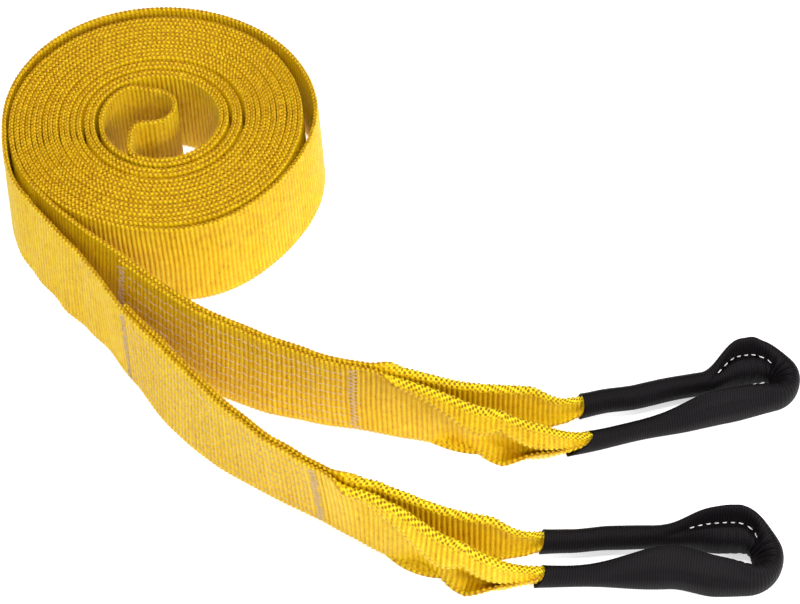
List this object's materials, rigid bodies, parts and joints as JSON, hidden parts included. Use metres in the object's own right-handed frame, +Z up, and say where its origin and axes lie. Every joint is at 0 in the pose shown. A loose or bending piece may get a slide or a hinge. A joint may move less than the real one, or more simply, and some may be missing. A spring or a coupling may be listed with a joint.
{
  "type": "tow strap",
  "caption": "Flat webbing tow strap, doubled and wound into a coil that stands on edge, with a sewn lap and a sleeved eye at each end.",
  "frame": {"origin": "middle of the strap's footprint, on the floor that the webbing's lower edge rests on", "axes": "+X along the eyes, away from the coil; +Y from the two ends towards the coil; +Z up along the coil's axis"},
  "size_m": [0.374, 0.3212, 0.0509],
  "materials": {
    "webbing": "yellow woven polyester webbing with cross ribs and a soft sheen",
    "sleeve": "black ribbed nylon sleeve, matt",
    "sewing_thread": "pale twisted polyester thread"
  },
  "bodies": {
    "root": {"webbing": "webbing", "upper_eye_sleeve": "sleeve", "lower_eye_sleeve": "sleeve"}
  },
  "joints": []
}
